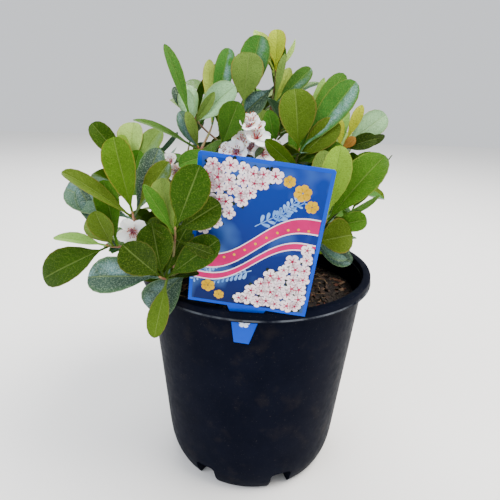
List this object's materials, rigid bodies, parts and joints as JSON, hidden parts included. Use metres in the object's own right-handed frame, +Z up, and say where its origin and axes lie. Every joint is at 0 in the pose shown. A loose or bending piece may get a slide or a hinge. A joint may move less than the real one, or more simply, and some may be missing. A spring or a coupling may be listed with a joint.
{
  "type": "potted flowering shrub",
  "caption": "Evergreen flowering shrub with oval leathery leaves and white blossom, in a round tapered nursery pot with a stick-in picture label.",
  "frame": {"origin": "centre of the pot's flat underside, where it stands", "axes": "+Z up along the pot's axis, -Y towards the viewer and the label's printed face, +X to the viewer's right"},
  "size_m": [0.2728, 0.2822, 0.377],
  "materials": {
    "pot": "semi-gloss moulded",
    "soil": "rough",
    "label": "gloss print",
    "bark": "rough",
    "foliage": "leathery, satin"
  },
  "bodies": {
    "root": {"pot": "pot", "soil": "soil", "label": "label", "stem": "bark", "bough_front_left": "bark", "bough_left": "bark", "bough_left_back": "bark", "bough_top_left": "bark", "bough_top": "bark", "bough_centre": "bark", "bough_right_front": "bark", "bough_right": "bark", "bough_right_back": "bark", "bough_back_right": "bark", "bough_back": "bark", "bough_back_left": "bark", "bough_back_low": "bark", "bough_inner_back": "bark", "foliage_front_left": "foliage", "foliage_left": "foliage", "foliage_left_back": "foliage", "foliage_top_left": "foliage", "foliage_top": "foliage", "foliage_centre": "foliage", "foliage_right_front": "foliage", "foliage_right": "foliage", "foliage_right_back": "foliage", "foliage_back_right": "foliage", "foliage_back": "foliage", "foliage_back_left": "foliage", "foliage_back_low": "foliage", "foliage_inner_back": "foliage"}
  },
  "joints": []
}
